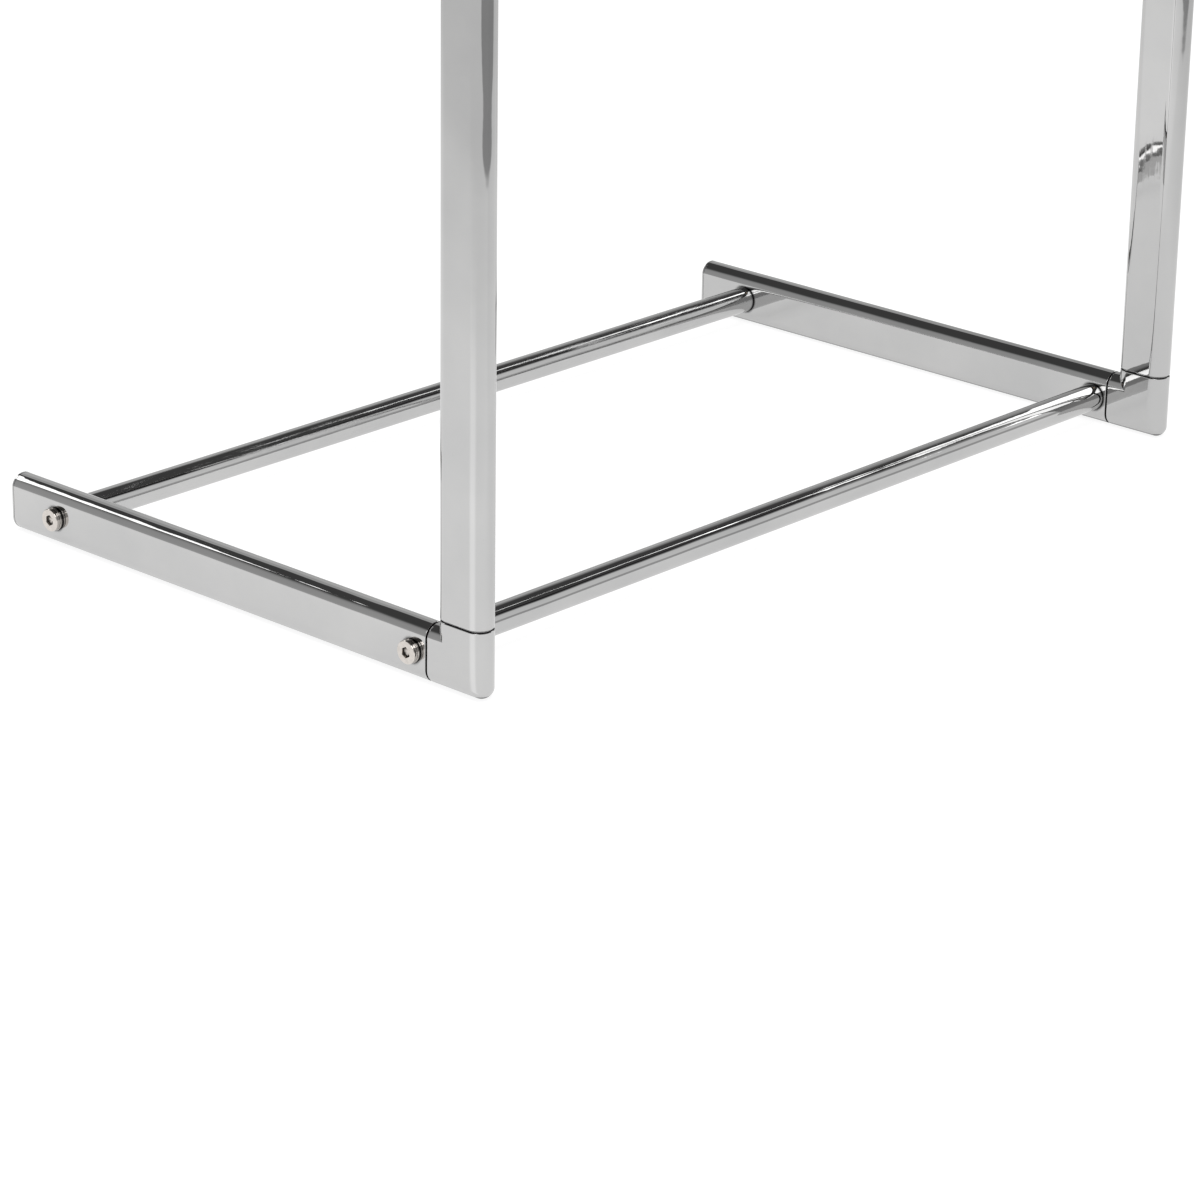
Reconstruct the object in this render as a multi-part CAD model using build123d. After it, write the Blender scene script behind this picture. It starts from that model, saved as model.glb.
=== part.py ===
from build123d import *

import os

# Valet stand: two C-shaped side frames of flat-oval chromed tube, joined by round crossbars.
# Lengths are in millimetres. The origin is on the floor under the middle of the stand.
# +X is the stand's right, +Y runs from the uprights towards the open ends of the feet, +Z is up.

# Side frames
STAND_WIDTH = 550.0
STAND_DEPTH = 335.0
FRAME_HEIGHT = 930.0
TUBE_WIDE = 30.0
TUBE_NARROW = 15.0
TUBE_WALL = 1.2
TUBE_EDGE_BREAK = 0.3

# Cast elbows: each leg reaches from the outer corner to a narrow groove at the tube's end
ELBOW_LEG = 35.0
ELBOW_CORNER_RADIUS = 5.0
ELBOW_EDGE_ROUND = 0.5
SEAM_WIDTH = 1.0
SEAM_DEPTH = 0.9
SPIGOT_LENGTH = 26.0
SPIGOT_CLEARANCE = 0.1
SPIGOT_WALL = 3.0
SPIGOT_CHAMFER = 1.0
POCKET_DEPTH = 34.0

# End caps of the feet and arms
CAP_FLANGE = 1.5
CAP_EDGE_ROUND = 0.7
CAP_PLUG_LENGTH = 12.0
CAP_PLUG_WALL = 2.0

# Crossbars and the threaded plugs in their ends
BAR_DIAMETER = 15.0
BAR_WALL = 1.2
BAR_END_CHAMFER = 0.4
FRONT_BAR_INSET = 44.5
REAR_BAR_INSET = 34.0
BAR_PITCH_UNDER_TRAY = 134.0
TROUSER_BAR_HEIGHT = 760.0
PLUG_LENGTH = 20.0
PLUG_CLEARANCE = 0.05

# Low-head M6 screws with plain washers
SCREW_RADIUS = 2.95
SCREW_THREAD_RADIUS = 3.0
SCREW_HOLE_RADIUS = 3.2
SCREW_LENGTH = 30.0
HEAD_RADIUS = 5.9
HEAD_FACE_RADIUS = 5.6
HEAD_NECK_RADIUS = 5.4
HEAD_NECK_HEIGHT = 0.3
HEAD_SIDE_TOP = 2.1
HEAD_HEIGHT = 2.4
SOCKET_ACROSS_FLATS = 5.0
SOCKET_DEPTH = 1.6
WASHER_RADIUS = 6.0
WASHER_THICKNESS = 1.6
WASHER_CHAMFER = 0.2

# Tray on the front and middle top bars
TRAY_WIDTH = 400.0
TRAY_DEPTH = 180.0
RAIL_HEIGHT = 30.0
RAIL_THICKNESS = 12.0
RAIL_EDGE_ROUND = 1.5
GROOVE_DEPTH = 3.0
GROOVE_CLEARANCE = 0.1
TRAY_FLOOR_LIFT = 4.0
TRAY_FLOOR_THICKNESS = 6.0
LINER_THICKNESS = 2.0
LINER_CLEARANCE = 0.5
TRAY_SCREW_RADIUS = 2.0
TRAY_SCREW_PILOT_RADIUS = 2.05
TRAY_SCREW_LENGTH = 32.0
TRAY_SCREW_HEAD_RADIUS = 4.0
TRAY_SCREW_HEAD_HEIGHT = 2.6

# Jacket hanger on a stem above the rear top bar
SADDLE_RADIUS = 12.0
SADDLE_OVERLAP = 4.0
SADDLE_CROWN = 6.0
SADDLE_EDGE_ROUND = 1.0
SADDLE_CLEARANCE = 0.05
STEM_RADIUS = 6.0
STEM_LENGTH = 108.0
STEM_TAPPED_DEPTH = 20.0
STUD_RADIUS = 3.95
STUD_LENGTH = 20.0
FERRULE_RADIUS = 11.0
FERRULE_HEIGHT = 8.0
FERRULE_EDGE_ROUND = 1.5
INSERT_RADIUS = 6.5
INSERT_BORE_RADIUS = 4.0
INSERT_LENGTH = 18.0
STEM_SCREW_LENGTH = 38.0
HANGER_WIDTH = 440.0
HANGER_DROP = 66.0
HANGER_SWEEP = 20.0
HANGER_NECK_HALF_DEPTH = 14.0
HANGER_NECK_HALF_HEIGHT = 19.0
HANGER_END_HALF_DEPTH = 25.0
HANGER_END_HALF_HEIGHT = 12.0
HANGER_END_START = 0.93
HANGER_STATIONS = (0.25, 0.5, 0.7, 0.84, HANGER_END_START, 0.965, 0.985, 0.996)
HANGER_RECESS = 5.0
HANGER_CLEARANCE = 0.1

# Derived positions
FRAME_X = (STAND_WIDTH - TUBE_NARROW) / 2
OUTER_X = STAND_WIDTH / 2
BAR_HALF_LENGTH = STAND_WIDTH / 2 - TUBE_NARROW
FRONT_Y = -STAND_DEPTH / 2
REAR_Y = STAND_DEPTH / 2
TUBE_START = ELBOW_LEG + SEAM_WIDTH / 2
BAR_RADIUS = BAR_DIAMETER / 2
UPRIGHT_Y = FRONT_Y + TUBE_WIDE / 2
FOOT_Z = TUBE_WIDE / 2
ARM_Z = FRAME_HEIGHT - TUBE_WIDE / 2
FRONT_BAR_Y = FRONT_Y + FRONT_BAR_INSET
MIDDLE_BAR_Y = FRONT_BAR_Y + BAR_PITCH_UNDER_TRAY
REAR_BAR_Y = REAR_Y - REAR_BAR_INSET
TRAY_Y = (FRONT_BAR_Y + MIDDLE_BAR_Y) / 2
TRAY_Z = ARM_Z + BAR_RADIUS
SIDE_RAIL_X = (TRAY_WIDTH - RAIL_THICKNESS) / 2
SADDLE_TOP = ARM_Z + BAR_RADIUS + SADDLE_CROWN
FERRULE_Z = SADDLE_TOP + STEM_LENGTH
FERRULE_TOP = FERRULE_Z + FERRULE_HEIGHT
HANGER_NECK_Z = FERRULE_TOP - HANGER_RECESS + HANGER_NECK_HALF_HEIGHT

SIDES = {"left": -1, "right": 1}
BARS = {
    "base_front_bar": (FRONT_BAR_Y, FOOT_Z),
    "base_rear_bar": (REAR_BAR_Y, FOOT_Z),
    "top_front_bar": (FRONT_BAR_Y, ARM_Z),
    "top_middle_bar": (MIDDLE_BAR_Y, ARM_Z),
    "top_rear_bar": (REAR_BAR_Y, ARM_Z),
    "trouser_bar": (UPRIGHT_Y, TROUSER_BAR_HEIGHT),
}
FOOT_BAR_YS = (FRONT_BAR_Y, REAR_BAR_Y)
ARM_BAR_YS = (FRONT_BAR_Y, MIDDLE_BAR_Y, REAR_BAR_Y)
TRAY_SCREW_SPOTS = [
    (side * SIDE_RAIL_X, y) for side in SIDES.values() for y in (FRONT_BAR_Y, MIDDLE_BAR_Y)
]


def upright_plane(x, y, z):
    """Section plane of an upright: its normal is up and the wide side lies along Y."""
    return Plane(origin=(x, y, z), x_dir=(0, 1, 0), z_dir=(0, 0, 1))


def foot_plane(x, y, z):
    """Section plane of a foot or arm: its normal is +Y and the wide side stands on edge."""
    return Plane(origin=(x, y, z), x_dir=(0, 0, 1), z_dir=(0, 1, 0))


def oval_bar(plane, length, inset=0.0):
    """Solid flat-oval bar whose sides lie inset inside the tube's outer surface."""
    section = SlotOverall(TUBE_WIDE - 2 * inset, TUBE_NARROW - 2 * inset)
    return extrude(plane * section, length)


def oval_tube(plane, length):
    """Flat-oval tube, cut square, with its outer end edges just broken."""
    tube = oval_bar(plane, length)
    ends = tube.faces().filter_by(GeomType.PLANE).sort_by(Axis(plane.origin, plane.z_dir))
    tube = chamfer(ends[0].edges() + ends[-1].edges(), TUBE_EDGE_BREAK)
    return tube - oval_bar(plane, length, TUBE_WALL)


def cross_hole(x, y, z):
    """Clearance hole for a screw, through both walls of a side frame's tube along X."""
    return Pos(x, y, z) * Rot(0, 90, 0) * Cylinder(SCREW_HOLE_RADIUS, TUBE_NARROW + 2 * TUBE_WALL)


def cylinder_up(x, y, z, radius, height):
    """Upright cylinder that stands on height z."""
    return Pos(x, y, z) * Cylinder(radius, height, align=(Align.CENTER, Align.CENTER, Align.MIN))


def level_tube(x, z, bar_ys):
    """Foot or arm of a side frame, drilled for the crossbars at bar_ys."""
    length = STAND_DEPTH - TUBE_START - CAP_FLANGE
    tube = oval_tube(foot_plane(x, FRONT_Y + TUBE_START, z), length)
    for y in bar_ys:
        tube -= cross_hole(x, y, z)
    return tube


def upright_tube(x):
    """Upright between the two elbows of a side frame, drilled for the trouser bar."""
    tube = oval_tube(upright_plane(x, UPRIGHT_Y, TUBE_START), FRAME_HEIGHT - 2 * TUBE_START)
    return tube - cross_hole(x, UPRIGHT_Y, TROUSER_BAR_HEIGHT)


def elbow_half():
    """Upright half of an elbow, cut on its mitre, with the spigot that fills the tube's end."""
    middle = TUBE_WIDE / 2
    leg_end = ELBOW_LEG - SEAM_WIDTH / 2
    leg = oval_bar(upright_plane(0, middle, 0), leg_end)
    leg = fillet(leg.faces().sort_by(Axis.Z)[-1].edges(), ELBOW_EDGE_ROUND)
    mitre = Polygon((0, 0), (ELBOW_LEG, ELBOW_LEG), (0, ELBOW_LEG), align=None)
    leg = leg & extrude(Plane.YZ * mitre, TUBE_NARROW, both=True)
    collar = oval_bar(upright_plane(0, middle, leg_end), SEAM_WIDTH, SEAM_DEPTH)
    spigot_inset = TUBE_WALL + SPIGOT_CLEARANCE
    spigot_length = SEAM_WIDTH + SPIGOT_LENGTH
    spigot = oval_bar(upright_plane(0, middle, leg_end), spigot_length, spigot_inset)
    spigot = chamfer(spigot.faces().sort_by(Axis.Z)[-1].edges(), SPIGOT_CHAMFER)
    pocket_floor = leg_end + spigot_length - POCKET_DEPTH
    pocket = oval_bar(
        upright_plane(0, middle, pocket_floor), POCKET_DEPTH, spigot_inset + SPIGOT_WALL
    )
    return leg + collar + spigot - pocket


def elbow():
    """Elbow with its outer corner at the origin, one leg up and one leg along +Y."""
    half = elbow_half()
    body = half + mirror(half, about=Plane(origin=(0, 0, 0), x_dir=(1, 0, 0), z_dir=(0, -1, 1)))

    # The outer corner is turned: the tube's half-round edge is revolved about an axis along X.
    edge_radius = TUBE_NARROW / 2
    turning_plane = Plane(
        origin=(0, ELBOW_CORNER_RADIUS, ELBOW_CORNER_RADIUS), x_dir=(0, -1, 0), z_dir=(0, 0, 1)
    )
    edge_profile = Pos(ELBOW_CORNER_RADIUS - edge_radius, 0) * Circle(edge_radius)
    edge_profile &= Rectangle(TUBE_NARROW, TUBE_NARROW, align=(Align.MIN, Align.CENTER))
    turned = revolve(turning_plane * edge_profile, Axis(turning_plane.origin, (1, 0, 0)), 90)
    body -= Box(
        TUBE_NARROW,
        ELBOW_CORNER_RADIUS,
        ELBOW_CORNER_RADIUS,
        align=(Align.CENTER, Align.MIN, Align.MIN),
    )
    body += turned
    return body - cross_hole(0, FRONT_BAR_INSET, FOOT_Z)


def end_cap(x, z):
    """Cap on the open end of a foot or arm: a rounded flange on a hollow plug."""
    plane = foot_plane(x, REAR_Y - CAP_FLANGE, z)
    flange = oval_bar(plane, CAP_FLANGE)
    flange = fillet(flange.faces().sort_by(Axis.Y)[-1].edges(), CAP_EDGE_ROUND)
    plug_plane = foot_plane(x, REAR_Y - CAP_FLANGE - CAP_PLUG_LENGTH, z)
    plug_inset = TUBE_WALL + SPIGOT_CLEARANCE
    plug = oval_bar(plug_plane, CAP_PLUG_LENGTH, plug_inset)
    plug -= oval_bar(plug_plane, CAP_PLUG_LENGTH, plug_inset + CAP_PLUG_WALL)
    return flange + plug


def crossbar(y, z):
    """Round tube between the inner faces of the two side frames."""
    axis_place = Pos(0, y, z) * Rot(0, 90, 0)
    bar = axis_place * Cylinder(BAR_RADIUS, 2 * BAR_HALF_LENGTH)
    bar = chamfer(bar.edges().filter_by(GeomType.CIRCLE), BAR_END_CHAMFER)
    return bar - axis_place * Cylinder(BAR_RADIUS - BAR_WALL, 2 * BAR_HALF_LENGTH)


def thread_plug(side, y, z):
    """Tapped plug pressed into a crossbar's end, flush with it."""
    radius = BAR_RADIUS - BAR_WALL - PLUG_CLEARANCE
    place = Pos(side * (BAR_HALF_LENGTH - PLUG_LENGTH / 2), y, z) * Rot(0, 90, 0)
    return place * (Cylinder(radius, PLUG_LENGTH) - Cylinder(SCREW_THREAD_RADIUS, PLUG_LENGTH))


def frame_screw(shank_length):
    """Low-head screw with a hexagon socket: shank down from the origin, head above it."""
    outline = Polyline(
        (0, 0),
        (HEAD_NECK_RADIUS, 0),
        (HEAD_NECK_RADIUS, HEAD_NECK_HEIGHT),
        (HEAD_RADIUS, HEAD_NECK_HEIGHT),
        (HEAD_RADIUS, HEAD_SIDE_TOP),
        (HEAD_FACE_RADIUS, HEAD_HEIGHT),
        (0, HEAD_HEIGHT),
        close=True,
    )
    head = revolve(Plane.XZ * make_face(outline), Axis.Z)
    hexagon = RegularPolygon(SOCKET_ACROSS_FLATS / 2, 6, major_radius=False)
    socket = Pos(0, 0, HEAD_HEIGHT - SOCKET_DEPTH) * extrude(hexagon, SOCKET_DEPTH)
    return head - socket + cylinder_up(0, 0, -shank_length, SCREW_RADIUS, shank_length)


def washer():
    """Plain washer that lies on the origin."""
    disc = cylinder_up(0, 0, 0, WASHER_RADIUS, WASHER_THICKNESS)
    disc = chamfer(disc.edges().filter_by(GeomType.CIRCLE), WASHER_CHAMFER)
    return disc - cylinder_up(0, 0, 0, SCREW_HOLE_RADIUS, WASHER_THICKNESS)


def outward(side, y, z, stand_off=0.0):
    """Place on a side frame's outer face where +Z points out of the stand."""
    return Pos(side * (OUTER_X + stand_off), y, z) * Rot(0, side * 90, 0)


def tray_rail(length, x, y, turn):
    """Mitred tray rail with its groove for the floor on the inner side, centred on x, y."""
    half = length / 2
    inner_half = half - RAIL_THICKNESS
    middle = RAIL_THICKNESS / 2
    footprint = Polygon(
        (-half, -middle), (half, -middle), (inner_half, middle), (-inner_half, middle), align=None
    )
    rail = extrude(footprint, RAIL_HEIGHT)
    rail = fillet(rail.edges().filter_by(Axis.X).group_by(Axis.Z)[-1], RAIL_EDGE_ROUND)
    groove_height = TRAY_FLOOR_THICKNESS + 2 * GROOVE_CLEARANCE
    groove = Pos(0, middle - GROOVE_DEPTH, TRAY_FLOOR_LIFT - GROOVE_CLEARANCE) * Box(
        length, GROOVE_DEPTH, groove_height, align=(Align.CENTER, Align.MIN, Align.MIN)
    )
    return Pos(x, y, TRAY_Z) * Rot(0, 0, turn) * (rail - groove)


def tray_panel(inset, lift, thickness):
    """Flat rectangular panel of the tray, inset from its outer sides."""
    return Pos(0, TRAY_Y, TRAY_Z + lift) * Box(
        TRAY_WIDTH - 2 * inset,
        TRAY_DEPTH - 2 * inset,
        thickness,
        align=(Align.CENTER, Align.CENTER, Align.MIN),
    )


def tray_screw(x, y):
    """Pan-head screw up through a top bar into a side rail of the tray."""
    seat = ARM_Z - BAR_RADIUS
    head = cylinder_up(
        x, y, seat - TRAY_SCREW_HEAD_HEIGHT, TRAY_SCREW_HEAD_RADIUS, TRAY_SCREW_HEAD_HEIGHT
    )
    head = fillet(head.edges().filter_by(GeomType.CIRCLE).sort_by(Axis.Z)[0], TRAY_SCREW_RADIUS / 2)
    return head + cylinder_up(x, y, seat, TRAY_SCREW_RADIUS, TRAY_SCREW_LENGTH)


def stem_saddle():
    """Collar whose hollowed underside sits on the rear top bar."""
    foot = ARM_Z + BAR_RADIUS - SADDLE_OVERLAP
    height = SADDLE_OVERLAP + SADDLE_CROWN
    collar = cylinder_up(0, REAR_BAR_Y, foot, SADDLE_RADIUS, height)
    rim = collar.edges().filter_by(GeomType.CIRCLE).sort_by(Axis.Z)[-1]
    collar = fillet(rim, SADDLE_EDGE_ROUND)
    seat = Pos(0, REAR_BAR_Y, ARM_Z) * Rot(0, 90, 0)
    collar -= seat * Cylinder(BAR_RADIUS + SADDLE_CLEARANCE, 2 * SADDLE_RADIUS)
    return collar - cylinder_up(0, REAR_BAR_Y, foot, SCREW_HOLE_RADIUS, height)


def hanger_stem():
    """Round stem, tapped at its foot, with a stud at its head."""
    stem = cylinder_up(0, REAR_BAR_Y, SADDLE_TOP, STEM_RADIUS, STEM_LENGTH)
    stem += cylinder_up(0, REAR_BAR_Y, FERRULE_Z, STUD_RADIUS, FERRULE_HEIGHT + STUD_LENGTH)
    return stem - cylinder_up(0, REAR_BAR_Y, SADDLE_TOP, SCREW_THREAD_RADIUS, STEM_TAPPED_DEPTH)


def hanger_ferrule():
    """Rounded ring on the stem's shoulder, let into the underside of the hanger."""
    ring = cylinder_up(0, REAR_BAR_Y, FERRULE_Z, FERRULE_RADIUS, FERRULE_HEIGHT)
    lower_rim = ring.edges().filter_by(GeomType.CIRCLE).sort_by(Axis.Z)[0]
    ring = fillet(lower_rim, FERRULE_EDGE_ROUND)
    return ring - cylinder_up(0, REAR_BAR_Y, FERRULE_Z, INSERT_BORE_RADIUS, FERRULE_HEIGHT)


def hanger_insert():
    """Threaded sleeve in the hanger for the stem's stud."""
    sleeve = cylinder_up(0, REAR_BAR_Y, FERRULE_TOP, INSERT_RADIUS, INSERT_LENGTH)
    return sleeve - cylinder_up(0, REAR_BAR_Y, FERRULE_TOP, INSERT_BORE_RADIUS, INSERT_LENGTH)


def hanger_section(share):
    """Elliptical section of the hanger at a signed share of its half width."""
    reach = abs(share)
    flare = reach**2
    fall = reach**1.5
    half_depth = HANGER_NECK_HALF_DEPTH + flare * (HANGER_END_HALF_DEPTH - HANGER_NECK_HALF_DEPTH)
    half_height = HANGER_NECK_HALF_HEIGHT + fall * (HANGER_END_HALF_HEIGHT - HANGER_NECK_HALF_HEIGHT)
    into_end = max(0.0, (reach - HANGER_END_START) / (1 - HANGER_END_START))
    rounding = (1 - into_end**2) ** 0.5
    centre = (
        share * HANGER_WIDTH / 2,
        REAR_BAR_Y - HANGER_SWEEP * flare,
        HANGER_NECK_Z - HANGER_DROP * fall,
    )
    plane = Plane(origin=centre, x_dir=(0, 1, 0), z_dir=(1, 0, 0))
    return plane * Ellipse(half_depth * rounding, half_height * rounding)


def hanger_body():
    """Contoured jacket hanger with sloping shoulders that broaden towards rounded ends."""
    left = [-share for share in reversed(HANGER_STATIONS)]
    body = loft([hanger_section(share) for share in (*left, 0.0, *HANGER_STATIONS)])
    recess = FERRULE_RADIUS + HANGER_CLEARANCE
    lowest = FERRULE_Z - HANGER_NECK_HALF_HEIGHT
    body -= cylinder_up(0, REAR_BAR_Y, lowest, recess, FERRULE_TOP - lowest)
    return body - cylinder_up(
        0, REAR_BAR_Y, FERRULE_TOP, INSERT_RADIUS + HANGER_CLEARANCE, STUD_LENGTH + 1
    )


def side_frame_parts():
    """Tubes, elbows and end caps of both side frames."""
    parts = {}
    base_elbow = elbow()
    for name, side in SIDES.items():
        x = side * FRAME_X
        parts[f"{name}_foot"] = level_tube(x, FOOT_Z, FOOT_BAR_YS)
        parts[f"{name}_upright"] = upright_tube(x)
        parts[f"{name}_arm"] = level_tube(x, ARM_Z, ARM_BAR_YS)
        parts[f"{name}_base_elbow"] = Pos(x, FRONT_Y, 0) * base_elbow
        parts[f"{name}_top_elbow"] = Pos(x, FRONT_Y, FRAME_HEIGHT) * Rot(0, 180, 0) * base_elbow
        parts[f"{name}_foot_cap"] = end_cap(x, FOOT_Z)
        parts[f"{name}_arm_cap"] = end_cap(x, ARM_Z)
    return parts


def bar_parts():
    """Crossbars, with upright holes in the top ones, and the fasteners at their ends."""
    parts = {name: crossbar(y, z) for name, (y, z) in BARS.items()}
    foot = ARM_Z - BAR_DIAMETER
    for x, y in TRAY_SCREW_SPOTS:
        name = "top_front_bar" if y == FRONT_BAR_Y else "top_middle_bar"
        parts[name] -= cylinder_up(x, y, foot, TRAY_SCREW_PILOT_RADIUS, 2 * BAR_DIAMETER)
    parts["top_rear_bar"] -= cylinder_up(0, REAR_BAR_Y, foot, SCREW_HOLE_RADIUS, 2 * BAR_DIAMETER)

    ends = [(side, y, z) for side in SIDES.values() for y, z in BARS.values()]
    screw = frame_screw(SCREW_LENGTH)
    ring = washer()
    parts["bar_thread_plugs"] = Compound(children=[thread_plug(*end) for end in ends])
    parts["bar_screws"] = Compound(children=[outward(*end, WASHER_THICKNESS) * screw for end in ends])
    parts["bar_washers"] = Compound(children=[outward(*end) * ring for end in ends])
    return parts


def tray_parts():
    """Four mitred rails round a floor panel, its liner and the screws from below."""
    across = (TRAY_DEPTH - RAIL_THICKNESS) / 2
    parts = {
        "tray_front_rail": tray_rail(TRAY_WIDTH, 0, TRAY_Y - across, 0),
        "tray_rear_rail": tray_rail(TRAY_WIDTH, 0, TRAY_Y + across, 180),
        "tray_left_rail": tray_rail(TRAY_DEPTH, -SIDE_RAIL_X, TRAY_Y, -90),
        "tray_right_rail": tray_rail(TRAY_DEPTH, SIDE_RAIL_X, TRAY_Y, 90),
    }
    for x, y in TRAY_SCREW_SPOTS:
        name = "tray_left_rail" if x < 0 else "tray_right_rail"
        depth = TRAY_SCREW_LENGTH - BAR_DIAMETER
        parts[name] -= cylinder_up(x, y, TRAY_Z, TRAY_SCREW_PILOT_RADIUS, depth)
    floor_inset = RAIL_THICKNESS - GROOVE_DEPTH + GROOVE_CLEARANCE
    liner_lift = TRAY_FLOOR_LIFT + TRAY_FLOOR_THICKNESS
    parts["tray_floor"] = tray_panel(floor_inset, TRAY_FLOOR_LIFT, TRAY_FLOOR_THICKNESS)
    parts["tray_liner"] = tray_panel(RAIL_THICKNESS + LINER_CLEARANCE, liner_lift, LINER_THICKNESS)
    parts["tray_screws"] = Compound(children=[tray_screw(*spot) for spot in TRAY_SCREW_SPOTS])
    return parts


def hanger_parts():
    """Saddle, stem and wooden hanger, with the screw that holds them to the rear top bar."""
    seat = Pos(0, REAR_BAR_Y, ARM_Z - BAR_RADIUS) * Rot(180, 0, 0)
    return {
        "stem_saddle": stem_saddle(),
        "stem_screw": seat * frame_screw(STEM_SCREW_LENGTH),
        "hanger_stem": hanger_stem(),
        "hanger_ferrule": hanger_ferrule(),
        "hanger_insert": hanger_insert(),
        "hanger_body": hanger_body(),
    }


os.makedirs("parts", exist_ok=True)
for node, shape in {
    **side_frame_parts(),
    **bar_parts(),
    **tray_parts(),
    **hanger_parts(),
}.items():
    export_step(shape, f"parts/{node}.step")
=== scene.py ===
import math

import bmesh
import bpy
from mathutils import Matrix, Vector
from mathutils.noise import noise as noise_value


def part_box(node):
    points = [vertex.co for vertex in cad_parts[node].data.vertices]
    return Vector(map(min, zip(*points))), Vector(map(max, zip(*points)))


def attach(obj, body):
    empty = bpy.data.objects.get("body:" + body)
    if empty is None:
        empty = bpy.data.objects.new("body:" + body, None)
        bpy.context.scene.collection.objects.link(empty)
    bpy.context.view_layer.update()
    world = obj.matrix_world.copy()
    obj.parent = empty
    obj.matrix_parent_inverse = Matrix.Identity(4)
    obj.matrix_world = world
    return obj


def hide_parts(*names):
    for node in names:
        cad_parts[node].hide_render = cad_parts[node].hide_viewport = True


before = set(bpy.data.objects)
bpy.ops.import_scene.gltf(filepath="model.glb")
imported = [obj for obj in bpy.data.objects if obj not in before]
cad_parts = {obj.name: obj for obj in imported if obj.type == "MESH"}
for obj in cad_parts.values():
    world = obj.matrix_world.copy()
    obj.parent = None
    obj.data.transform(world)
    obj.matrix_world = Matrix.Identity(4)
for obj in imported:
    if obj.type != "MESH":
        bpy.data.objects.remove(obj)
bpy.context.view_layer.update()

# Everything is in metres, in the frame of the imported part.
MM = 0.001

# Camera: angles are in radians, and yaw turns from +Y towards +X
LENS_MM = 130.82
SENSOR_MM = 36.0
CAMERA_FAR = 200.0
CAMERA_PLACE = Vector((-1.6264, -1.4780, 0.7821))
CAMERA_YAW = 0.8304
CAMERA_PITCH = 0.3694
CAMERA_ROLL = 0.0150

# Tubes and bars. A section is round if its sides differ by less than ROUND_WITHIN, and points
# that JOIN_WITHIN can't tell apart are one.
TUBE_WALL = 1.2 * MM
TUBE_RIM_ROUND = 0.3 * MM
BAR_RIM_ROUND = 0.4 * MM
ROUND_WITHIN = 0.01 * MM
JOIN_WITHIN = 0.001 * MM
RIM_STEPS = 4
ARC_STEPS = 36
SIDES = ("left", "right")
TUBES = [f"{side}_{part}" for side in SIDES for part in ("foot", "upright", "arm")]
BARS = [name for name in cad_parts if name.endswith("_bar")]
SIDE_RAILS = ("tray_left_rail", "tray_right_rail")

# Screws and washers: corners of their turned outlines, as (radius, height above the seat) in
# millimetres. A ring of a socket is a hexagon, and its radius is half the width across flats.
TURNED_STEPS = 48
TURNED_EDGE_ROUND = 0.1 * MM
TURNED_SHARP = math.radians(35)
SOCKET_ANGLE = math.pi / 3
HEAD_OUTLINE = [(2.95, 0.0), (5.4, 0.0), (5.4, 0.3), (5.9, 0.3), (5.9, 2.1), (5.6, 2.4)]
SOCKET_OUTLINE = [(2.5, 2.4), (2.5, 0.8)]
SOCKET_POINT = (0.0, 0.5)
BAR_SCREW_LENGTH = 30.0
STEM_SCREW_LENGTH = 38.0
WASHER_THICKNESS = 1.6
WASHER_OUTLINE = [(3.2, 0.0), (5.8, 0.0), (6.0, 0.2), (6.0, 1.4), (5.8, 1.6), (3.2, 1.6), (3.2, 0.0)]

# Felt liner of the tray; swells are noise features per metre, about
LINER_EDGE_STEPS = (0.0, 0.15 * MM, 0.4 * MM, 0.8 * MM, 1.3 * MM)
LINER_EDGE_ROUND = 1.3 * MM
LINER_GRID = 3.0 * MM
LINER_UNEVENNESS = 0.25 * MM
LINER_SWELLS = 45.0
LINER_SHARP = math.radians(50)

# Fineness of each material's texture: noise features per metre, about
CHROME_HAZE = 14.0
CHROME_MARKS = 1400.0
CHROME_STREAKS = 420.0
CHROME_PITS = 2600.0
CHROME_WAVES = 14.0
CHROME_RIPPLES = 60.0
PLATING_STAIN = 420.0
PLATING_RINGS = 5200.0
BRASS_STAIN = 300.0
WOOD_DRIFT = 18.0
WOOD_BANDS = 150.0
WOOD_FIBRES = 1300.0
WOOD_PORES = 2100.0
FELT_FIBRES = 1500.0
FELT_CLUMPS = 260.0

# Texture scale along a tube's marks or a board's grain, as a share of the scale across it
DRAWN_STRETCH = 0.05
GRAIN_STRETCH = 0.07
FIBRE_STRETCH = 0.03

# Tones in linear colour, from dark to light
CHROME_TONES = ((0.545, 0.545, 0.545), (0.595, 0.593, 0.59))
NICKEL_TONES = ((0.63, 0.59, 0.55), (0.72, 0.68, 0.64))
ZINC_TONES = ((0.48, 0.49, 0.50), (0.60, 0.61, 0.62))
BRASS_TONES = ((0.55, 0.36, 0.13), (0.72, 0.50, 0.20))
WALNUT_TONES = [
    (0.030, 0.014, 0.008), (0.072, 0.035, 0.018), (0.125, 0.064, 0.033), (0.19, 0.105, 0.056)
]
BOARD_TONES = [(0.42, 0.29, 0.17), (0.52, 0.38, 0.23), (0.58, 0.44, 0.28), (0.64, 0.50, 0.33)]
FELT_TONES = [(0.014, 0.015, 0.017), (0.035, 0.037, 0.041), (0.085, 0.088, 0.095)]
# Reach of the ambient occlusion that paints shade into grooves and corners
GROOVE_SHADE_REACH = 2.5 * MM
TUBE_WAVINESS = 1.2

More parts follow.
